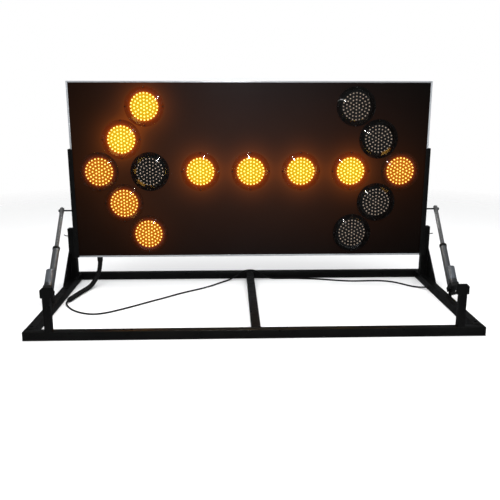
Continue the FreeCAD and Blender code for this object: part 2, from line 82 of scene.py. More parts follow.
# Actuators, in mm: places along their own line from the lower pin, radii, and the motor's offset
GEARBOX_TO, BAND_TO, MOTOR_TO, BARREL_TO = 34.0, 52.0, 122.0, 266.0
COLLAR_FROM, COLLAR_TO, PISTON_FROM = 256.0, 272.0, 255.0
MOTOR_R, MOTOR_OFFSET, BARREL_R, BARREL_WALL, COLLAR_R = 20.0, 38.0, 16.5, 2.5, 18.0
PISTON_R, PISTON_END_R, PIVOT_R = 10.0, 11.0, 4.0

# Fasteners and weld beads
M8_ACROSS, M10_ACROSS = 13 * MM, 17 * MM
WELD_R, WELD_PITCH = 2.4 * MM, 3.2 * MM

# Cords: their routes, which are the frame's own, and their sizes
CONDUIT_D, CONDUIT_LENGTH = 0.024, 0.360
LEAD_D, LEAD_LENGTH = 0.008, 2.20
CONDUIT_ROUTE = [
    (-0.790, 0.318, 0.133), (-0.793, 0.318, 0.104), (-0.800, 0.310, 0.071),
    (-0.812, 0.294, 0.0435), (-0.826, 0.270, 0.023), (-0.839, 0.241, 0.0128),
    (-0.850, 0.206, 0.012), (-0.868, 0.138, 0.012), (-0.882, 0.078, 0.012),
    (-0.888, 0.050, 0.012),
]
LEAD_ROUTE = [
    (-0.8935, 0.025, 0.012), (-0.896, 0.001, 0.009), (-0.884, -0.028, 0.005),
    (-0.864, -0.060, 0.0042), (-0.836, -0.098, 0.0042), (-0.792, -0.134, 0.0042),
    (-0.735, -0.155, 0.0042), (-0.680, -0.136, 0.0042), (-0.628, -0.096, 0.0042),
    (-0.560, -0.036, 0.0042), (-0.500, 0.022, 0.0042), (-0.428, 0.086, 0.0042),
    (-0.352, 0.160, 0.0042), (-0.276, 0.216, 0.0042), (-0.212, 0.272, 0.0042),
    (-0.160, 0.336, 0.0042), (-0.110, 0.392, 0.0042), (-0.072, 0.407, 0.020),
    (-0.030, 0.410, 0.052), (0.030, 0.411, 0.052), (0.074, 0.409, 0.020),
    (0.118, 0.407, 0.0042), (0.206, 0.410, 0.0042), (0.290, 0.402, 0.0042),
    (0.376, 0.390, 0.0042), (0.470, 0.358, 0.0042), (0.556, 0.342, 0.0042),
    (0.640, 0.348, 0.0042), (0.714, 0.346, 0.0042), (0.770, 0.322, 0.0042),
    (0.808, 0.282, 0.0042), (0.838, 0.244, 0.0042), (0.868, 0.222, 0.005),
    (0.892, 0.200, 0.009), (0.910, 0.192, 0.012),
]


# ---------------------------------------------------------------- camera, light and floor

def make_camera():
    data = bpy.data.cameras.new("camera")
    data.sensor_width, data.lens = 36.0, CAMERA_LENS
    camera = bpy.data.objects.new("camera", data)
    camera.location = CAMERA_PLACE
    camera.rotation_euler = (math.pi / 2 - CAMERA_DOWN, 0.0, -CAMERA_RIGHT)
    bpy.context.scene.collection.objects.link(camera)
    bpy.context.scene.camera = camera


def area_light(name, place, aim, size, power, mirrored=True):
    data = bpy.data.lights.new(name, "AREA")
    data.shape, data.size, data.size_y = "RECTANGLE", size[0], size[1]
    data.energy = power
    light = bpy.data.objects.new(name, data)
    light.visible_glossy, light.visible_camera = mirrored, False
    light.location = place
    light.rotation_euler = (Vector(aim) - Vector(place)).to_track_quat("-Z", "Y").to_euler()
    bpy.context.scene.collection.objects.link(light)


def make_lights():
    """Soft light from above and the sides, and two small lights that the glossy parts mirror."""
    area_light("overhead", (0.0, -0.6, 4.2), (0.0, 0.0, 0.0), (7.0, 6.0), 420, False)
    area_light("front_fill", (-2.6, -4.6, 2.6), (0.0, 0.1, 0.4), (2.4, 2.4), 60, False)
    area_light("side_fill", (3.8, -2.6, 1.8), (0.4, 0.1, 0.4), (1.6, 2.4), 30, False)
    area_light("small_front", (-0.08, -2.85, 1.38), (-0.08, 0.3, 0.6), (0.07, 0.07), 4)
    area_light("strip", (-0.09, 0.09, 1.24), (-0.09, 0.14, 0.0), (0.02, 0.36), 2.2)


def make_world():
    """A white background, and a soft room that is dimmer in reflections."""
    room_strength, mirrored_strength = 0.22, 0.065
    world = bpy.data.worlds.new("studio")
    bpy.context.scene.world = world
    world.use_nodes = True
    tree = world.node_tree
    room = tree.nodes["Background"]
    room.inputs["Color"].default_value = (0.93, 0.96, 1.0, 1)
    path = tree.nodes.new("ShaderNodeLightPath")
    dim = tree.nodes.new("ShaderNodeMapRange")
    dim.inputs["To Min"].default_value = room_strength
    dim.inputs["To Max"].default_value = mirrored_strength
    tree.links.new(path.outputs["Is Glossy Ray"], dim.inputs["Value"])
    tree.links.new(dim.outputs[0], room.inputs["Strength"])
    backdrop = tree.nodes.new("ShaderNodeBackground")
    backdrop.inputs["Color"].default_value = (1, 1, 1, 1)
    choose = tree.nodes.new("ShaderNodeMixShader")
    tree.links.new(path.outputs["Is Camera Ray"], choose.inputs["Fac"])
    tree.links.new(room.outputs[0], choose.inputs[1])
    tree.links.new(backdrop.outputs[0], choose.inputs[2])
    tree.links.new(choose.outputs[0], tree.nodes["World Output"].inputs["Surface"])


def make_floor():
    """A pale round floor that fades into the background, and doesn't show in reflections."""
    radius, fade_from, fade_to = 9.0, 1.5, 4.5
    bm = bmesh.new()
    bmesh.ops.create_circle(bm, cap_ends=True, segments=96, radius=radius)
    mesh = bpy.data.meshes.new("floor")
    bm.to_mesh(mesh)
    bm.free()
    floor = bpy.data.objects.new("floor", mesh)
    bpy.context.scene.collection.objects.link(floor)
    floor.visible_glossy = False
    pale = Surface("floor_paint", Base_Color=(0.86, 0.86, 0.86, 1), Roughness=0.8)
    pale.set("Specular IOR Level", 0.1)
    away = pale.node("VectorMath", {0: pale.where}, operation="LENGTH").outputs["Value"]
    pale.set("Alpha", pale.span(away, fade_from, fade_to, 1.0, 0.0))
    floor.data.materials.append(pale.material)


# ---------------------------------------------------------------- materials

class Surface:
    """A node material: a Principled surface, and short calls for the nodes that drive it."""

    def __init__(self, name, **plain):
        self.material = bpy.data.materials.new(name)
        self.material.use_nodes = True
        self.tree = self.material.node_tree
        self.shader = self.tree.nodes["Principled BSDF"]
        self.where = self.node("TexCoord").outputs["Object"]
        for socket, value in plain.items():
            self.set(socket.replace("_", " "), value)

    def node(self, kind, inputs=(), **settings):
        made = self.tree.nodes.new("ShaderNode" + kind)
        for key, value in settings.items():
            setattr(made, key, value)
        for key, value in dict(inputs).items():
            self.feed(made.inputs[key], value)
        return made

    def feed(self, socket, value):
        if isinstance(value, bpy.types.NodeSocket):
            self.tree.links.new(value, socket)
        else:
            socket.default_value = value

    def set(self, socket, value):
        self.feed(self.shader.inputs[socket], value)

    def noise(self, scale, detail=3.0, stretch=(1.0, 1.0, 1.0)):
        place = self.node("Mapping", {"Vector": self.where, "Scale": stretch}).outputs[0]
        made = self.node("TexNoise", {"Vector": place, "Scale": scale, "Detail": detail})
        return made.outputs["Fac"]

    def span(self, value, low, high, out_low, out_high):
        """value mapped from low..high to out_low..out_high, and held at the ends."""
        inputs = {"Value": value, "From Min": low, "From Max": high,
                  "To Min": out_low, "To Max": out_high}
        return self.node("MapRange", inputs, clamp=True).outputs[0]

    def maths(self, operation, a, b=0.0):
        return self.node("Math", {0: a, 1: b}, operation=operation).outputs[0]

    def mix(self, factor, a, b):
        made = self.node("Mix", data_type="RGBA")
        for key, value in (("Factor_Float", factor), ("A_Color", a), ("B_Color", b)):
            socket = next(s for s in made.inputs if s.identifier == key)
            self.feed(socket, value)
        return next(s for s in made.outputs if s.identifier == "Result_Color")

    def ramp(self, value, stops):
        """A colour for a value: stops are (place, colour)."""
        made = self.node("ValToRGB", {"Fac": value})
        band = made.color_ramp
        while len(band.elements) < len(stops):
            band.elements.new(0.5)
        for element, (place, colour) in zip(band.elements, stops):
            element.position, element.color = place, colour
        return made.outputs["Color"]

    def bump(self, *layers):
        """Bumps laid one on the other: each layer is (height, depth in metres)."""
        normal = None
        for height, depth in layers:
            inputs = {"Height": height, "Distance": depth, "Strength": 1.0}
            if normal is not None:
                inputs["Normal"] = normal
            normal = self.node("Bump", inputs).outputs[0]
        self.set("Normal", normal)

    def worn_edges(self, radius):
        """1 along sharp edges and 0 elsewhere."""
        round_normal = self.node("Bevel", {"Radius": radius}, samples=4).outputs[0]
        flat_normal = self.node("NewGeometry").outputs["Normal"]
        inputs = {0: round_normal, 1: flat_normal}
        agree = self.node("VectorMath", inputs, operation="DOT_PRODUCT").outputs["Value"]
        return self.span(agree, 0.98, 0.80, 0.0, 1.0)

    def away_from(self, x, z, squash=1.0):
        """Distance across the board's face from a point on it."""
        flat = self.node("VectorMath", {0: self.where, 1: (1, 0, squash)}, operation="MULTIPLY")
        inputs = {0: flat.outputs[0], 1: (x, 0, z * squash)}
        return self.node("VectorMath", inputs, operation="DISTANCE").outputs["Value"]

    def glow(self, value, bright, faint):
        """An emission colour ramp over a value, and another one at the fainter lamps."""
        at_faint = 0.0
        for x, z in FAINT_LAMPS:
            here = self.span(self.away_from(x, z), LAMP_R, LAMP_R + 0.001, 1.0, 0.0)
            at_faint = self.maths("MAXIMUM", here, at_faint)
        ramps = [self.ramp(value, [(place, (*colour, 1)) for place, colour in stops])
                 for stops in (bright, faint)]
        self.set("Emission Color", self.mix(at_faint, *ramps))
        self.set("Emission Strength", 1.0)

    def attribute(self, name):
        return self.node("Attribute", attribute_name=name).outputs["Fac"]


def grey(value, tint=(1.0, 1.0, 1.0)):
    return (value * tint[0], value * tint[1], value * tint[2], 1.0)


def coated_steel(name, value=0.0025, wear=0.4):
    """Satin black powder coat: orange peel, dull patches, dust, and edges rubbed grey."""
    s = Surface(name)
    s.set("Specular IOR Level", 0.4)
    patches = s.noise(7.0, 4.0)
    base = s.mix(s.span(patches, 0.35, 0.7, 0, 1), grey(value), grey(value * 1.7, (1, 0.95, 0.9)))
    scuff = s.maths("MULTIPLY", s.worn_edges(0.0016), s.span(s.noise(70.0, 4.0), 0.52, 0.7, 0, wear))
    s.set("Base Color", s.mix(scuff, base, grey(0.10, (1, 0.97, 0.93))))
    s.set("Roughness", s.span(s.noise(24.0, 5.0), 0.3, 0.7, 0.26, 0.44))
    s.bump((s.noise(420.0, 2.0), 0.00012), (s.noise(60.0, 3.0), 0.0002))
    return s.material


def moulded(name, value=0.008, rough=0.42, grain=1500.0):
    """Moulded black plastic with a fine spark-eroded grain."""
    s = Surface(name)
    s.set("Specular IOR Level", 0.2)
    s.set("Base Color", s.mix(s.noise(9.0), grey(value), grey(value * 1.6)))
    s.set("Roughness", s.span(s.noise(30.0, 4.0), 0.3, 0.7, rough - 0.08, rough + 0.1))
    s.bump((s.noise(grain, 2.0), 0.00005))
    return s.material


def metal(name, value, rough, tint=(1, 1, 1), brushed=(1, 1, 1), scale=60.0, spots=0.25,
          depth=0.00002, bare=1.0):
    """Bare or plated metal: brushed along one axis, with dull spots and handling marks."""
    s = Surface(name, Metallic=bare)
    lines = s.noise(scale, 6.0, brushed)
    marks = s.span(s.noise(14.0, 5.0), 0.45, 0.75, 0.0, spots)
    bright = s.mix(lines, grey(value, tint), grey(value * 0.82, tint))
    s.set("Base Color", s.mix(marks, bright, grey(value * 0.55, tint)))
    s.set("Roughness", s.span(lines, 0.3, 0.7, rough - 0.06, rough + 0.08))
    s.bump((lines, depth))
    return s.material


def rubber(name, value=0.006):
    s = Surface(name)
    s.set("Specular IOR Level", 0.12)
    s.set("Base Color", s.mix(s.noise(20.0, 4.0), grey(value), grey(value * 2.0)))
    s.set("Roughness", s.span(s.noise(90.0, 4.0), 0.3, 0.7, 0.55, 0.75))
    s.bump((s.noise(1100.0, 2.0), 0.00006))
    return s.material


def lit_face(name):
    """Black-brown coat on the face sheet, with the lit lamps' warm glow painted around them as
    emission, and a painted pale sheen near its top middle.
    """
    s = Surface(name)
    s.set("Specular IOR Level", 0.03)
    patches = s.span(s.noise(3.0, 3.0), 0.3, 0.7, 0, 1)
    s.set("Base Color", s.mix(patches, grey(0.002, (1, 0.9, 0.86)), grey(0.003, (1, 0.9, 0.86))))
    s.set("Roughness", s.span(s.noise(16.0, 4.0), 0.3, 0.7, 0.46, 0.6))
    s.bump((s.noise(700.0, 2.0), 0.00006), (s.noise(2.2, 1.0), 0.0012))
    # Painted glow: emission that paints the lit lamps' light spilling onto the face, as a tight halo
    # and a wide haze, weaker at the fainter lamps.
    painted_halo, painted_haze = 0.0, 0.0
    for x, z in LIT_LAMPS:
        away = s.away_from(x, z)
        peak = 0.6 if (x, z) in FAINT_LAMPS else 1.0
        painted_halo = s.maths("ADD", s.maths("POWER", s.span(away, 0.07, 0.30, peak, 0.0), 4.5), painted_halo)
        painted_haze = s.maths("ADD", s.maths("POWER", s.span(away, 0.0, 0.60, peak, 0.0), 1.6), painted_haze)
    near = s.ramp(s.span(painted_halo, 0.0, 1.2, 0, 1), [
        (0.0, (0.0, 0.0, 0.0, 1)), (0.35, (0.050, 0.010, 0.001, 1)),
        (1.0, (0.230, 0.042, 0.002, 1)),
    ])
    wide = s.mix(s.span(painted_haze, 0.0, 3.0, 0, 1), (0, 0, 0, 1), (0.043, 0.011, 0.0012, 1))
    # Painted sheen: a pale emission that fades away from the board's top middle, standing in for a
    # reflection on the face.
    painted_sheen = s.maths("POWER", s.span(s.away_from(-0.02, 1.05, 0.7), 0.0, 1.0, 1.0, 0.0), 1.5)
    soft = s.mix(painted_sheen, (0, 0, 0, 1), (0.0135, 0.0110, 0.0120, 1))
    glow = s.node("VectorMath", {0: near, 1: wide}, operation="ADD").outputs[0]
    glow = s.node("VectorMath", {0: glow, 1: soft}, operation="ADD").outputs[0]
    s.set("Emission Color", glow)
    s.set("Emission Strength", 1.0)
    return s.material


def lamp_glow(name, lit):
    """Black lamp moulding; around lit diodes it carries their orange glow painted on as emission,
    fading outwards.
    """
    s = Surface(name)
    s.set("Specular IOR Level", 0.06)
    s.set("Base Color", s.mix(s.noise(12.0), grey(0.002), grey(0.004)))
    s.set("Roughness", s.span(s.noise(50.0, 3.0), 0.3, 0.7, 0.4, 0.55))
    s.bump((s.noise(500.0, 2.0), 0.00001))
    if lit:
        # Painted glow: emission by radius on the lit lamps' mouldings and circuit boards paints the
        # diodes' light spreading around them.
        out = s.span(s.attribute("from_middle"), 0.0, LAMP_R, 0, 1)
        s.glow(out, [
            (0.0, (0.90, 0.59, 0.011)), (0.62, (0.88, 0.49, 0.007)), (0.71, (0.60, 0.12, 0.001)),
            (0.77, (0.26, 0.034, 0.001)), (0.88, (0.14, 0.019, 0.001)), (1.0, (0.11, 0.016, 0.001)),
        ], [
            (0.0, (0.59, 0.18, 0.002)), (0.62, (0.55, 0.145, 0.002)), (0.71, (0.34, 0.048, 0.001)),
            (0.77, (0.12, 0.016, 0.001)), (0.88, (0.045, 0.008, 0.001)), (1.0, (0.020, 0.005, 0.001)),
        ])
    return s.material


def diode_resin(name, lit):
    """The diodes' resin: glowing from amber at the foot to yellow-white at the tip, or dull."""
    s = Surface(name, Roughness=0.18)
    s.set("Specular IOR Level", 0.5)
    depth = s.node("SeparateXYZ", {0: s.where}).outputs["Y"]
    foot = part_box("lit_leds")[1].y
    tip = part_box("lit_leds")[0].y
    up = s.span(depth, foot, tip, 0, 1)
    if lit:
        s.set("Base Color", (0.5, 0.2, 0.02, 1))
        s.glow(up, [
            (0.0, (0.95, 0.48, 0.01)), (0.45, (1.6, 0.95, 0.05)), (0.8, (2.8, 2.1, 0.40)),
            (1.0, (3.6, 2.8, 0.80)),
        ], [
            (0.0, (0.72, 0.26, 0.008)), (0.45, (1.25, 0.62, 0.05)), (0.8, (2.1, 1.35, 0.26)),
            (1.0, (2.6, 1.75, 0.50)),
        ])
    else:
        s.set("Base Color", s.ramp(up, [
            (0.0, (0.02, 0.015, 0.01, 1)), (0.5, (0.16, 0.12, 0.09, 1)),
            (1.0, (0.52, 0.42, 0.34, 1)),
        ]))
    return s.material


def clear_cover(name):
    """Clear moulded cover: mostly see-through, and glossier where it turns away."""
    s = Surface(name)
    s.tree.nodes.remove(s.shader)
    through = s.node("BsdfTransparent", {"Color": (0.97, 0.965, 0.96, 1)})
    hazy = s.span(s.noise(9.0, 2.0), 0.35, 0.65, 0.07, 0.10)
    mirror = s.node("BsdfGlossy", {"Color": (1, 1, 1, 1), "Roughness": hazy})
    facing_away = s.node("LayerWeight", {"Blend": 0.5}).outputs["Facing"]
    share = s.span(s.maths("POWER", facing_away, 4.0), 0.0, 1.0, 0.03, 0.9)
    both = s.node("MixShader", {0: share})
    s.tree.links.new(through.outputs[0], both.inputs[1])
    s.tree.links.new(mirror.outputs[0], both.inputs[2])
    s.tree.links.new(both.outputs[0], s.tree.nodes["Material Output"].inputs["Surface"])
    return s.material


def make_finishes():
    """A material for each of the record's slots, and two looks that share a slot's pieces."""
    return {
        "black_steel": coated_steel("black_powder_coat"),
        "cap_plastic": moulded("black_cap_plastic"),
        "black_rubber": rubber("black_rubber"),
        "bush_bronze": metal("bush_bronze", 0.45, 0.4, (1, 0.72, 0.36)),
        "zinc_steel": metal("zinc_plate", 0.62, 0.34, (1, 0.99, 0.96), scale=180.0),
        "dark_steel": metal("blackened_steel", 0.10, 0.42, scale=160.0),
        "trim_aluminium": metal("trim_aluminium", 0.55, 0.38, (0.94, 0.98, 1.03), (0.05, 1, 1),
                                300.0, bare=0.4),
        "face_paint": lit_face("face_coat_painted_glow"),
        "back_paint": coated_steel("back_coat", 0.008, 0.2),
        "lamp_plastic": lamp_glow("lamp_plastic", False),
        "moulding_painted_glow": lamp_glow("moulding_painted_glow", True),
        "circuit_board": moulded("solder_mask", 0.006, 0.3, 600.0),
        "lamp_cover": clear_cover("clear_cover"),
        "led_lit": diode_resin("lit_diode", True),
        "led_dark": diode_resin("dark_diode", False),
        "gear_case": coated_steel("gear_case_coat", 0.008),
        "motor_can": metal("motor_can", 0.46, 0.44, (0.88, 0.96, 1.06), scale=220.0, bare=0.87),
        "cast_band": metal("cast_band", 0.55, 0.4, (0.97, 0.99, 1.02), scale=240.0),
        "barrel_tube": metal("barrel_anodised", 0.46, 0.42, (0.97, 1, 1.03), scale=260.0,
                             bare=0.93),
        "collar_plastic": moulded("collar_plastic"),
        "rod_steel": metal("rod_plate", 0.50, 0.30, scale=200.0, spots=0.1, depth=0.000002,
                           bare=0.88),
        "nut_plastic": moulded("nut_acetal", 0.55, 0.4),
        "conduit_plastic": moulded("conduit_plastic", 0.007, 0.38, 900.0),
        "lead_jacket": rubber("lead_jacket"),
    }


# ---------------------------------------------------------------- mesh helpers

class Shell:
    """Points and faces of one piece, gathered from simple closed forms."""

    def __init__(self, form=None, place=Matrix.Identity(4)):
        self.points, self.faces, self.radii = [], [], []
        if form:
            self.add(form, place)

    def add(self, form, place=Matrix.Identity(4), glows=False):
        """A form's points and faces, put in its place; those that take the painted glow note their
        own radius.
        """
        points, faces = form
        first = len(self.points)
        self.points += [place @ Vector(p) for p in points]
        self.faces += [[first + i for i in face] for face in faces]
        self.radii += [math.hypot(p[0], p[1]) if glows else 0.0 for p in points]

    def piece(self, name, slot, body, replaces=(), look=None, sharp=38.0):
        mesh = bpy.data.meshes.new(name)
        mesh.from_pydata(self.points, [], self.faces)
        mesh.polygons.foreach_set("use_smooth", [True] * len(mesh.polygons))
        mesh.set_sharp_from_angle(angle=math.radians(sharp))
        if any(self.radii):
            mesh.attributes.new("from_middle", "FLOAT", "POINT").data.foreach_set(
                "value", self.radii)
        mesh.validate()
        made = bpy.data.objects.new(name, mesh)
        bpy.context.scene.collection.objects.link(made)
        mesh.materials.append(finishes[look or slot])
        if body:
            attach(made, body)
        if replaces:
            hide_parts(*replaces)
        return made


def around(count, turn=0.0):
    """Evenly spaced directions about local Z, as (cosine, sine)."""
    angles = [2 * math.pi * i / count + turn for i in range(count)]
    return [(math.cos(a), math.sin(a)) for a in angles]


def lofted(rows, foot=None, tip=None, flat_ends=False):
    """A skin over rows of equal length, closed at its ends by points, by flat faces or not."""
    count = len(rows[0])
    points = [p for row in rows for p in row]
    last = len(points) - count
    faces = []
    for a in range(0, last, count):
        for i in range(count):
            j = (i + 1) % count
            faces.append([a + i, a + j, a + count + j, a + count + i])
    if flat_ends:
        faces += [list(range(count))[::-1], list(range(last, last + count))]
    if foot:
        faces += [[len(points), (i + 1) % count, i] for i in range(count)]
        points.append(foot)
    if tip:
        faces += [[last + i, last + (i + 1) % count, len(points)] for i in range(count)]
        points.append(tip)
    return points, faces


def turned(profile, segments=48):
    """A solid of revolution about local Z; profile runs up its outside as (radius, z)."""
    foot, tip = ((0, 0, z) if r == 0 else None for r, z in (profile[0], profile[-1]))
    rows = [[(r * c, r * s, z) for c, s in around(segments)] for r, z in profile if r > 0]
    return lofted(rows, foot, tip)


def ring(profile, segments=48):
    """A closed ring about local Z; profile is a closed outline as (radius, z), anticlockwise."""
    outline = [*profile, profile[0]]
    rows = [[(r * c, r * s, z) for c, s in around(segments)] for r, z in outline]
    points, faces = lofted(rows)
    kept = len(points) - segments
    return points[:kept], [[i % kept for i in face] for face in faces]


def scaled(profile):
    """An outline given in mm, in the script's metres."""
    return [(r * MM, h * MM) for r, h in profile]


def rounded(corner_points, radius, steps=3):
    """An open outline with each inner corner replaced by a small arc."""
    points = [Vector(p) for p in corner_points]
    made = [points[0]]
    for before, corner, after in zip(points, points[1:], points[2:]):
        back, on = before - corner, after - corner
        reach = min(radius, back.length * 0.45, on.length * 0.45)
        start, end = corner + back.normalized() * reach, corner + on.normalized() * reach
        for k in range(steps + 1):
            t = k / steps
            made.append((1 - t) ** 2 * start + 2 * t * (1 - t) * corner + t * t * end)
    made.append(points[-1])
    return [tuple(p) for p in made]


def facing(place, direction, turn=0.0):
    """A matrix that takes local Z to a direction at a place."""
    rotation = Vector(direction).to_track_quat("Z", "Y").to_matrix().to_4x4()
    return Matrix.Translation(place) @ rotation @ Matrix.Rotation(turn, 4, "Z")


def hex_head(across, height):
    """A hexagon head or nut body with its corners turned off, standing on z = 0."""
    segments, apothem = 36, across / 2
    chamfer_r, chamfer_slope, dish = apothem * 1.02, 0.58, 0.4 * MM
    ways, reach = around(segments), []
    for i in range(segments):
        off = (2 * math.pi * i / segments + math.pi / 6) % (math.pi / 3) - math.pi / 6
        reach.append(apothem / math.cos(off))
    rows = [
        [(r, 0.0) for r in reach],
        [(r, height - max(0.0, r - chamfer_r) * chamfer_slope) for r in reach],
        [(min(r, chamfer_r) * 0.96, height) for r in reach],
        [(apothem * 0.70, height)] * segments,
        [(apothem * 0.62, height - dish)] * segments,
    ]
    rows = [[(r * c, r * s, z) for (r, z), (c, s) in zip(row, ways)] for row in rows]
    return lofted(rows, (0, 0, 0), (0, 0, height - dish))


def washer(inner, outer, thickness):
    """A flat washer on z = 0 with its outer edges broken."""
    edge = thickness * 0.25
    return ring([
        (inner, 0), (outer - edge, 0), (outer, edge), (outer, thickness - edge),
        (outer - edge, thickness), (inner, thickness),
    ], 40)


def cross_screw(head_r, head_h, shank_r, shank_length):
    """A pan-head screw with a cross recess: head above z = 0, shank below."""
    dome = [(head_r * math.cos(a), head_h * (0.25 + 0.75 * math.sin(a)))
            for a in (math.radians(d) for d in (0, 20, 40, 58))]
    profile = [(0, -shank_length), (shank_r * 0.6, -shank_length), (shank_r, -shank_length * 0.9),
               (shank_r, 0), (head_r, 0)] + dome
    points, faces = turned(profile, 24)
    bm = bmesh.new()
    verts = [bm.verts.new(p) for p in points]
    for face in faces:
        bm.faces.new([verts[i] for i in face])
    open_rim = [e for e in bm.edges if e.is_boundary]

    arm, half = head_r * 0.52, head_r * 0.15
    cross = []
    for quarter in range(4):
        turn = Matrix.Rotation(math.pi / 2 * quarter, 3, "Z")
        cross += [turn @ Vector((x, y, 0)) for x, y in ((arm, -half), (arm, half), (half, half))]
    top_z, floor_z = dome[-1][1] + head_h * 0.06, dome[-1][1] - head_h * 0.45
    rim = [bm.verts.new((p.x, p.y, top_z)) for p in cross]
    floor = [bm.verts.new((p.x * 0.72, p.y * 0.72, floor_z)) for p in cross]
    pairs = list(zip(range(len(cross)), [*range(1, len(cross)), 0]))
    cross_edges = [bm.edges.new((rim[i], rim[j])) for i, j in pairs]
    bmesh.ops.bridge_loops(bm, edges=open_rim + cross_edges)
    for i, j in pairs:
        bm.faces.new([rim[i], rim[j], floor[j], floor[i]])
    bm.faces.new(floor)
    bmesh.ops.recalc_face_normals(bm, faces=bm.faces)
    bm.verts.index_update()
    form = [tuple(v.co) for v in bm.verts], [[v.index for v in f.verts] for f in bm.faces]
    bm.free()
    return form


def tube_along(line, radius_at, segments=32):
    """A closed tube along a line of points; radius_at(distance) gives its radius there."""
    rows, side, travelled = [], None, 0.0
    for i, p in enumerate(line):
        ahead = (line[min(i + 1, len(line) - 1)] - line[max(i - 1, 0)]).normalized()
        if side is None:
            side = ahead.orthogonal().normalized()
        side = (side - ahead * side.dot(ahead)).normalized()
        other = ahead.cross(side)
        if i:
            travelled += (p - line[i - 1]).length
        r = radius_at(travelled)
        rows.append([p + (side * c + other * s) * r for c, s in around(segments)])
    return lofted(rows, flat_ends=True)


def solids_of(node):
    """The (lowest, highest) corner of each separate solid of a CAD node."""
    bm = bmesh.new()
    bm.from_mesh(nodes[node].data)
    bmesh.ops.remove_doubles(bm, verts=bm.verts, dist=1e-6)
    left, found = set(bm.verts), []
    while left:
        todo, island = [left.pop()], []
        while todo:
            v = todo.pop()
            island.append(v.co.copy())
            for e in v.link_edges:
                other = e.other_vert(v)
                if other in left:
                    left.remove(other)
                    todo.append(other)
        low = Vector(min(p[i] for p in island) for i in range(3))
        high = Vector(max(p[i] for p in island) for i in range(3))
        found.append((low, high))
    bm.free()
    return sorted(found, key=lambda b: tuple(round(c, 4) for c in b[0]))


def outward_place(low, high, turn=0.0):
    """The inner end of a solid that lies across the object, with local Z outwards; its length."""
    side = 1 if low.x > 0 else -1
    near, far = sorted((abs(low.x), abs(high.x)))
    middle = (low + high) / 2
    return facing((side * near, middle.y, middle.z), (side, 0, 0), turn * side), far - near


def finished(node, rounding, long_only):
    """A copy of a CAD node with its outer edges rounded off, in the node's place."""
    sharp_angle, long_edge = math.radians(32), 0.08
    bm = bmesh.new()
    bm.from_mesh(nodes[node].data)
    bmesh.ops.remove_doubles(bm, verts=bm.verts, dist=1e-6)
    bmesh.ops.dissolve_limit(bm, angle_limit=math.radians(0.5), verts=bm.verts, edges=bm.edges)
    sharp = [
        e for e in bm.edges
        if len(e.link_faces) == 2 and e.is_convex and e.calc_face_angle(0) > sharp_angle
        and (not long_only or e.calc_length() > long_edge)
    ]
    bmesh.ops.bevel(
        bm, geom=sharp, offset=rounding, offset_type="OFFSET", segments=2, profile=0.5,
        affect="EDGES", clamp_overlap=not long_only,
    )
    bmesh.ops.triangulate(bm, faces=[f for f in bm.faces if len(f.verts) > 4])
    mesh = bpy.data.meshes.new(node + "_finished")
    bm.to_mesh(mesh)
    bm.free()
    mesh.polygons.foreach_set("use_smooth", [True] * len(mesh.polygons))
    mesh.set_sharp_from_angle(angle=math.radians(30))
    made = bpy.data.objects.new(node + "_finished", mesh)
    bpy.context.scene.collection.objects.link(made)
    mesh.materials.append(finishes[slot_of[node]])
    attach(made, body_of[node])
    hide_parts(node)


# ---------------------------------------------------------------- cords and their ends

def spline_curve(name, route):
    """A smooth open curve with a route's points as its control points."""
    data = bpy.data.curves.new(name, "CURVE")
    data.dimensions = "3D"
    spline = data.splines.new("NURBS")
    spline.points.add(len(route) - 1)
    for point, place in zip(spline.points, route):
        point.co = (*place, 1.0)
    spline.order_u, spline.use_endpoint_u = 3, True
    made = bpy.data.objects.new(name, data)
    bpy.context.scene.collection.objects.link(made)
    return made


def points_of(curve):
    line = bpy.data.meshes.new_from_object(curve)
    return [v.co.copy() for v in line.vertices]


def make_conduit():
    """The ribbed conduit along its route; its line is returned with it."""
    rib_pitch, rib_depth = 3.4 * MM, 1.5 * MM
    guide = spline_curve("conduit_line", CONDUIT_ROUTE)
    guide.data.resolution_u = 96
    line = points_of(guide)
    bpy.data.objects.remove(guide)

    def ribbed(distance):
        wave = 0.5 + 0.5 * math.cos(2 * math.pi * distance / rib_pitch)
        return CONDUIT_D / 2 - rib_depth * (1 - wave ** 0.6)

    shell = Shell(tube_along(line, ribbed, 36))
    conduit = shell.piece("corrugated_conduit", "conduit_plastic", None, ["conduit"], sharp=60)
    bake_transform(conduit)
    return conduit, line


def make_fitting():
    """The conduit's end fitting: a plain sleeve, then ribs that taper down to the lead."""
    start, tip = Vector(CONDUIT_ROUTE[-1]), Vector(LEAD_ROUTE[0])
    long = (tip - start).length / MM
    outline = [(0, 0), (11.9, 0), (11.9, 4.6), (10.9, 5.2)]
    for k in range(5):
        z, r = 6.4 + k * 3.3, 10.9 - 0.75 * k
        outline += [(r, z), (r, z + 1.7), (r - 1.1, z + 2.0), (r - 1.1, z + 3.0)]
    outline += [(7, long - 2), (6.2, long), (0, long)]
    shell = Shell(turned(scaled(outline), 40), facing(start, tip - start))
    return shell.piece("conduit_adaptor", "black_rubber", "base", ["conduit_end_fitting"])


def make_lead():
    lead = spline_curve("actuator_cable", LEAD_ROUTE)
    lead.data.resolution_u = 16
    lead.data.bevel_depth, lead.data.bevel_resolution = LEAD_D / 2, 5
    lead.data.use_fill_caps = True
    lead.data.materials.append(finishes["lead_jacket"])
    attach(lead, "base")
    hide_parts("actuator_lead")
    return lead


def make_cords():
    conduit, line = make_conduit()
    fitting, lead = make_fitting(), make_lead()


def make_grommet():
    """The rubber ring that the lead goes through into the right side rail."""
    y, z = LEAD_ROUTE[-1][1:]
    place = facing((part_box("right_side_rail")[0].x, y, z), (-1, 0, 0))
    outline = [(4.1, -2.4), (5.9, -2.4), (5.9, 0), (9, 0), (9, 1.8), (8.2, 3.0), (6.4, 4.4),
               (5.4, 7), (4.1, 7)]
    shell = Shell(ring(scaled(outline), 40), place)
    shell.piece("lead_grommet", "black_rubber", "base", ["rail_grommet"])


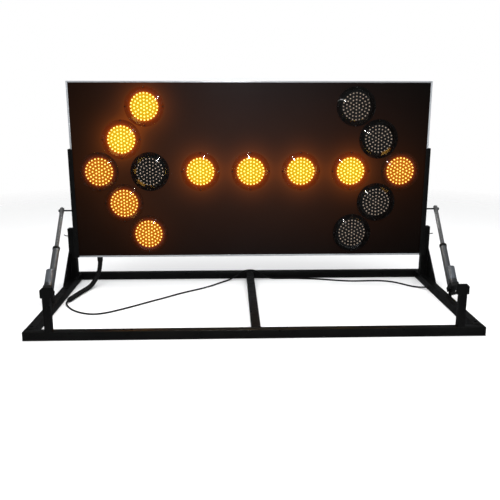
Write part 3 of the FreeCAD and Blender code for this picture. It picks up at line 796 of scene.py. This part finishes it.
def make_gland():
    """The cable gland under the cabinet: a washer, a hexagon and a grooved cap nut."""
    x, y = CONDUIT_ROUTE[0][:2]
    place = facing((x, y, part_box("bottom_frame")[0].z), (0, 0, -1))
    washer_h, hex_across, hex_h = 2 * MM, 26 * MM, 10 * MM
    grips, groove_depth, groove_from, groove_to = 24, 0.6, 12.5, 25
    shell = Shell(turned(scaled([(0, 0), (14.6, 0), (15, 0.4), (14.8, 2), (0, 2)]), 40), place)
    shell.add(hex_head(hex_across, hex_h), place @ Matrix.Translation((0, 0, washer_h)))
    rows = []
    for r, h in [(13.2, 12), (14.2, 12.6), (14.2, 24), (13.6, 26), (13.0, 31), (12.2, 32)]:
        groove = groove_depth if groove_from < h < groove_to else 0.0
        radii = [(r - (groove if i % 4 == 0 else 0.0)) * MM for i in range(grips * 4)]
        rows.append([(a * c, a * s, h * MM) for a, (c, s) in zip(radii, around(grips * 4))])
    shell.add(lofted(rows, flat_ends=True), place)
    shell.piece("cable_gland", "cap_plastic", "board", ["board_gland"])


# ---------------------------------------------------------------- lamps

def led_places():
    """The diodes of one lamp: one in the middle, and rings of six, twelve and so on."""
    places = [(0.0, 0.0)]
    for row in range(1, LED_RINGS + 1):
        for c, s in around(6 * row, math.pi / 2):
            places.append((row * LED_PITCH * c, row * LED_PITCH * s))
    return places


def lamp_forms(front):
    """One lamp's forms about its middle, with z = 0 on the board's face and z forwards."""
    rim, top, bottom = (front - y for y in (
        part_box("lamp_covers")[1].y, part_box("lamp_covers")[0].y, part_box("lamp_housings")[1].y))
    wall, flange, clear, edge_r, cover_r = 3 * MM, 2 * MM, 0.3 * MM, 0.9 * MM, 3.0 * MM
    foot, ledge, board_h = rim + flange, -2.6 * MM, 1.6 * MM
    housing = turned(rounded([
        (0, bottom), (CUP_R - 1 * MM, bottom), (CUP_R - 1 * MM, 0), (LAMP_R, 0), (LAMP_R, rim),
        (CUP_R - wall, rim), (CUP_R - wall, ledge), (CUP_R - 2 * wall, ledge),
        (CUP_R - 2 * wall, bottom + wall), (0, bottom + wall),
    ], edge_r), 96)
    board_r = CUP_R - wall - clear
    seat = ledge + board_h
    board = turned([(0, ledge), (board_r, ledge), (board_r, seat), (0, seat)], 96)
    cover = turned(rounded([
        (0, top - 2 * MM), (COVER_TOP_R - 1 * MM, top - 2 * MM), (COVER_BASE_R - 4 * MM, foot),
        (COVER_BASE_R - 4 * MM, rim), (LAMP_R - 0.5 * MM, rim), (LAMP_R - 0.5 * MM, foot),
        (COVER_BASE_R, foot), (COVER_TOP_R, top), (0, top),
    ], cover_r, 6), 128)
    outline = [(0, 0), (1, 0), (1, 1.0), (0.9, 1.2), (0.9, 4.4), (0.78, 6.3), (0.45, 7.6), (0, 8.0)]
    diode = turned([(r * LED_R, seat + h * MM) for r, h in outline], 14)
    screw = cross_screw(3.6 * MM, 2.3 * MM, 2 * MM, 3 * MM)
    return housing, board, cover, diode, screw, foot


def make_lamps(lit):
    """All lamps of one kind: housings, circuit boards, covers, diodes and cover screws."""
    # Lit lamps' housings and circuit boards take the moulding with the painted glow.
    kind, look = ("lit", "moulding_painted_glow") if lit else ("dark", None)
    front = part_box("face_panel")[0].y
    housing, board, cover, diode, screw, foot = lamp_forms(front)
    housings, boards, covers, diodes, screws = (Shell() for _ in range(5))
    for number, (x, z) in enumerate(LIT_LAMPS if lit else DARK_LAMPS):
        place = facing((x, front, z), (0, -1, 0))
        housings.add(housing, place, glows=True)
        boards.add(board, place, glows=True)
        covers.add(cover, place)
        for across, up in led_places():
            diodes.add(diode, place @ Matrix.Translation((across, up, 0)))
        for i, (c, s) in enumerate(around(LAMP_SCREWS)):
            spot = Matrix.Translation((LAMP_SCREW_R * c, LAMP_SCREW_R * s, foot))
            screws.add(screw, place @ spot @ Matrix.Rotation(0.7 * i + 1.9 * number, 4, "Z"))
    housings.piece(f"{kind}_lamp_housings", "lamp_plastic", "board", ["lamp_housings"], look)
    boards.piece(f"{kind}_lamp_boards", "circuit_board", "board", ["lamp_circuit_boards"], look)
    covers.piece(f"{kind}_lamp_covers", "lamp_cover", "board", ["lamp_covers"], sharp=50)
    slot, node = ("led_lit", "lit_leds") if lit else ("led_dark", "unlit_leds")
    diodes.piece(f"{kind}_diodes", slot, "board", [node], sharp=60)
    screws.piece(f"{kind}_lamp_screws", "dark_steel", "board", ["lamp_screws"])


# ---------------------------------------------------------------- fasteners and pins

def make_back_screws():
    head_h = 2.2 * MM
    screw = cross_screw(3.7 * MM, head_h, 1.9 * MM, 5 * MM)
    shell = Shell()
    for number, (low, high) in enumerate(solids_of("back_screws")):
        seat = ((low.x + high.x) / 2, high.y - head_h, (low.z + high.z) / 2)
        shell.add(screw, facing(seat, (0, 1, 0), 0.8 * number))
    shell.piece("back_cover_screws", "zinc_steel", "board", ["back_screws"])


def make_arm_bolts():
    """Bolts with washers on the outside of both arms, and their nuts inside the cabinet."""
    shank_r, shank_length, washer_h = 3.9 * MM, 24 * MM, 0.8 * MM
    shank = turned([(0, -shank_length), (shank_r, -shank_length), (shank_r, 0.5 * MM),
                    (0, 0.5 * MM)], 24)
    shell = Shell()
    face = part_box("right_arm")[1].x
    for number, (low, high) in enumerate(solids_of("arm_bolts")):
        middle, side = (low + high) / 2, 1 if low.x > 0 else -1
        if max(abs(low.x), abs(high.x)) > face:
            head = facing((side * face, middle.y, middle.z), (side, 0, 0), 0.9 * number)
            shell.add(washer(3.8 * MM, 8.4 * MM, washer_h), head)
            shell.add(hex_head(M8_ACROSS, 4.2 * MM), head @ Matrix.Translation((0, 0, washer_h)))
            shell.add(shank, head)
        else:
            place, long = outward_place(low, high)
            shell.add(hex_head(M8_ACROSS, long), place)
    shell.piece("cabinet_bolts", "dark_steel", "board", ["arm_bolts"])


def make_pins():
    """The hinge pins, each with a hole for its hook, and the actuators' studs."""
    hole, hole_depth = 2.5 * MM, 0.5 * MM
    for node in ("hinge_pins", "actuator_studs"):
        shell = Shell()
        for low, high in solids_of(node):
            place, long = outward_place(low, high)
            r = (high.z - low.z) / 2
            bevel = 0.16 * r
            profile = [(0, 0), (r, 0), (r, long - bevel), (r - bevel, long)]
            if node == "hinge_pins":
                profile += [(hole + 0.6 * MM, long), (hole, long - hole_depth)]
                long -= hole_depth
            shell.add(turned([*profile, (0, long)], 40), place)
        shell.piece(node + "_turned", "dark_steel", "board", [node])


def make_hinge_washers():
    hole_r = 8.02 * MM
    shell = Shell()
    for low, high in solids_of("hinge_washers"):
        place, thickness = outward_place(low, high)
        shell.add(washer(hole_r, (high.z - low.z) / 2, thickness), place)
    shell.piece("hinge_thrust_washers", "zinc_steel", "board", ["hinge_washers"])


def make_lower_pivots():
    """The actuators' lower pivots: plain shanks, each with a hexagon on its outer end."""
    shank_r, hex_h = 4.95 * MM, 6.2 * MM
    shell = Shell()
    for low, high in solids_of("lower_pivot_pins"):
        place, long = outward_place(low, high)
        hex_from = long - 7 * MM
        shell.add(turned([
            (0, 0), (shank_r, 0), (shank_r, hex_from), (4.6 * MM, long - 0.6 * MM),
            (4.0 * MM, long), (0, long),
        ], 32), place)
        shell.add(hex_head(M10_ACROSS, hex_h), place @ Matrix.Translation((0, 0, hex_from)))
    shell.piece("lower_pivot_bolts", "dark_steel", "base", ["lower_pivot_pins"])


# ---------------------------------------------------------------- actuators

def actuator_line(name):
    """The lower pin's middle with local Z along the actuator, and the distance between pins."""
    lower, upper = (sum(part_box(n), Vector()) / 2 for n in ("lower_pivot_pins", "actuator_studs"))
    across = sum(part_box(f"{name}_barrel"), Vector()).x / 2
    lean = math.atan2(upper.y - lower.y, upper.z - lower.z)
    reach = math.hypot(upper.y - lower.y, upper.z - lower.z) / MM
    return Matrix.Translation((across, lower.y, lower.z)) @ Matrix.Rotation(-lean, 4, "X"), reach


def make_motor(name, line):
    """The motor beside the barrel: a grooved can, and the cast band that its screws hold."""
    place = line @ Matrix.Translation((0, -MOTOR_OFFSET * MM, 0))
    can_r, band_to, screw_z = MOTOR_R - 0.5, BAND_TO - 0.3, 43.0
    can = [(0, BAND_TO), (18.6, BAND_TO), (18.6, 52.6), (can_r, 53.0), (can_r, 116.5), (18.9, 117.3),
           (18.9, 118.2), (can_r, 118.8), (19.3, 120.6), (18.2, MOTOR_TO), (9, MOTOR_TO),
           (8.6, 121.2), (0, 121.2)]
    shell = Shell(turned(scaled(can), 64), place)
    shell.piece(f"{name}_motor_can", "motor_can", f"{name}_actuator", [f"{name}_motor"])

    band = [(0, GEARBOX_TO), (19.6, GEARBOX_TO), (MOTOR_R, 34.5), (MOTOR_R, 51.2), (19.6, band_to),
            (0, band_to)]
    shell = Shell(turned(scaled(band), 64), place)
    screw = cross_screw(2.4 * MM, 0.5 * MM, 1.2 * MM, 1.5 * MM)
    seat = Matrix.Translation(((MOTOR_R - 0.6) * MM, 0, screw_z * MM))
    for turn in (0, math.pi):
        spot = Matrix.Rotation(turn, 4, "Z") @ seat @ Matrix.Rotation(math.pi / 2, 4, "Y")
        shell.add(screw, place @ spot)
    shell.piece(f"{name}_motor_band", "motor_can", f"{name}_actuator", [f"{name}_motor"],
                "cast_band")


def make_barrel(name, line):
    """The outer tube with a groove near its foot, and the end cap that the rod comes out of."""
    bore, groove, end = BARREL_R - BARREL_WALL, BARREL_R - 0.35, BARREL_TO - 0.4
    tube = [(bore, GEARBOX_TO), (BARREL_R, GEARBOX_TO), (BARREL_R, 40), (groove, 40.5),
            (groove, 42), (BARREL_R, 42.5), (BARREL_R, end), (bore, end)]
    shell = Shell(ring(scaled(tube), 64), line)
    shell.piece(f"{name}_outer_tube", "barrel_tube", f"{name}_actuator", [f"{name}_barrel"])

    hole, hole_from, waist = PISTON_R + 0.1, COLLAR_TO - 0.8, COLLAR_R - 0.8
    cap = [(BARREL_R, COLLAR_FROM), (COLLAR_R - 0.6, COLLAR_FROM), (COLLAR_R, COLLAR_FROM + 0.8),
           (COLLAR_R, 260), (waist, 260.4), (waist, 261.2), (COLLAR_R, 261.6), (COLLAR_R, 268.5),
           (COLLAR_R - 1.2, 270.8), (COLLAR_R - 3.2, COLLAR_TO), (12.4, COLLAR_TO),
           (11.6, hole_from), (hole, hole_from), (hole, BARREL_TO), (BARREL_R, BARREL_TO)]
    shell = Shell(ring(scaled(cap), 64), line)
    shell.piece(f"{name}_end_cap", "collar_plastic", f"{name}_actuator",
                [f"{name}_barrel_collar"])


def make_rod(name, line, reach):
    """The piston rod, with a thicker end about the upper pin, and its pivot bolt."""
    bore = 6.0
    piston = [(0, reach - 26), (bore, reach - 26), (bore, PISTON_FROM),
              (PISTON_R - 0.3, PISTON_FROM), (PISTON_R, PISTON_FROM + 0.4),
              (PISTON_R, reach - 15.4), (PISTON_R + 0.6, reach - 15), (PISTON_END_R, reach - 14.6),
              (PISTON_END_R, reach + 12.6), (PISTON_END_R - 0.7, reach + 14),
              (PISTON_END_R - 3, reach + 16), (0, reach + 16)]
    shell = Shell(turned(scaled(piston), 64), line)
    shell.piece(f"{name}_piston_tube", "rod_steel", f"{name}_rod", [f"{name}_piston_rod"])

    place, long = outward_place(*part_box(f"{name}_pivot_bolt"), turn=0.4)
    shank_r, hex_h = (PIVOT_R - 0.05) * MM, 5 * MM
    shank_to = long - 4 * MM
    shell = Shell(turned([(0, 0), (shank_r, 0), (shank_r, shank_to), (0, shank_to)], 32), place)
    shell.add(hex_head(M8_ACROSS, hex_h), place @ Matrix.Translation((0, 0, long - hex_h)))
    shell.piece(f"{name}_rod_end_bolt", "dark_steel", f"{name}_rod", [f"{name}_pivot_bolt"])


def make_actuators():
    for name in ("left", "right"):
        line, reach = actuator_line(name)
        make_motor(name, line)
        make_barrel(name, line)
        make_rod(name, line, reach)


# ---------------------------------------------------------------- frame, cabinet and welds

def weld_bead(shell, start, end):
    """A bead of overlapping ripples, closed at both ends."""
    start, end = Vector(start), Vector(end)
    long = (end - start).length
    steps = max(8, int(long / (WELD_PITCH / 4)))
    line = [start.lerp(end, i / steps) for i in range(steps + 1)]

    def ripple(distance):
        taper = min(1.0, 0.35 + min(distance, long - distance) / (2.5 * WELD_R))
        return WELD_R * taper * (0.84 + 0.16 * abs(math.cos(math.pi * distance / WELD_PITCH)))

    shell.add(tube_along(line, ripple, 10))


def make_welds():
    """Fillet welds where the base's tubes and plates meet, the same on both ends."""
    front, rear, middle, rail, post, rear_post, gusset = (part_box(n) for n in (
        "front_rail", "rear_rail", "centre_rail", "right_side_rail", "front_posts", "rear_posts",
        "gusset_plates"))
    post_in, rear_post_in, gusset_in = (
        solids_of(n)[1][0].x for n in ("front_posts", "rear_posts", "gusset_plates"))
    inner, outer, post_out, post_back = rail[0].x, rail[1].x, post[1].x, post[1].y
    rear_front, rear_back = rear_post[0].y, rear_post[1].y
    low, top = 1.5 * MM, front[1].z
    runs = [
        ((inner, front[1].y, low), (inner, front[1].y, top)),
        ((inner, rear[0].y, low), (inner, rear[0].y, top)),
        ((inner, front[1].y, top), (outer, front[1].y, top)),
        ((inner, rear[0].y, top), (outer, rear[0].y, top)),
        ((post_in, post_back, top), (post_out, post_back, top)),
        ((post_in, front[0].y + 1 * MM, top), (post_in, post_back, top)),
        ((post_out, front[0].y + 1 * MM, top), (post_out, post_back, top)),
        ((rear_post_in, rear_front, top), (gusset_in, rear_front, top)),
        ((rear_post_in, rear_back, top), (outer - 1 * MM, rear_back, top)),
        ((rear_post_in, rear_front, top), (rear_post_in, rear_back, top)),
        ((gusset_in, gusset[0].y + 4 * MM, top), (gusset_in, rear_front, top)),
        ((gusset_in, rear_front, top), (gusset_in, rear_front, gusset[1].z - 5 * MM)),
        ((post_in + 2 * MM, post_back, post[1].z), (post_out - 2 * MM, post_back, post[1].z)),
    ]
    shell = Shell()
    for a, b in runs:
        for side in (-1, 1):
            weld_bead(shell, (side * a[0], a[1], a[2]), (side * b[0], b[1], b[2]))
    for y in (middle[0].y, middle[1].y):
        weld_bead(shell, (middle[0].x, y, top), (middle[1].x, y, top))
        for x in (middle[0].x, middle[1].x):
            weld_bead(shell, (x, y, low), (x, y, top))
    shell.piece("frame_welds", "black_steel", "base")


ROUNDED_NODES = {
    "front_rail": 2.2, "rear_rail": 2.2, "centre_rail": 2.2, "left_side_rail": 2.2,
    "right_side_rail": 2.2, "front_posts": 2.0, "rear_posts": 2.2, "gusset_plates": 0.8,
    "cradles": 0.8, "left_arm": 1.0, "right_arm": 1.0,
    "top_frame": 0.7, "bottom_frame": 0.7, "left_frame": 0.7, "right_frame": 0.7,
    "rail_end_caps": 1.0, "post_caps": 1.0, "cradle_pads": 1.2,
    "left_gearbox": 1.2, "right_gearbox": 1.2,
}


def dress_nodes():
    """Every node that is still shown as it came takes its finish; tubes get rounded edges."""
    long_piece = 0.12
    for node in nodes:
        if nodes[node].hide_render:
            continue
        if node in ROUNDED_NODES:
            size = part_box(node)[1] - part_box(node)[0]
            finished(node, ROUNDED_NODES[node] * MM, max(size) > long_piece)
            continue
        nodes[node].data.materials.clear()
        nodes[node].data.materials.append(finishes[slot_of[node]])


# ---------------------------------------------------------------- the whole object

make_camera()
finishes = make_finishes()
make_cords()
make_grommet()
make_gland()
make_lamps(True)
make_lamps(False)
make_back_screws()
make_arm_bolts()
make_pins()
make_hinge_washers()
make_lower_pivots()
make_actuators()
make_welds()
dress_nodes()
make_world()
make_floor()
make_lights()
bpy.context.scene.view_settings.view_transform = "Standard"
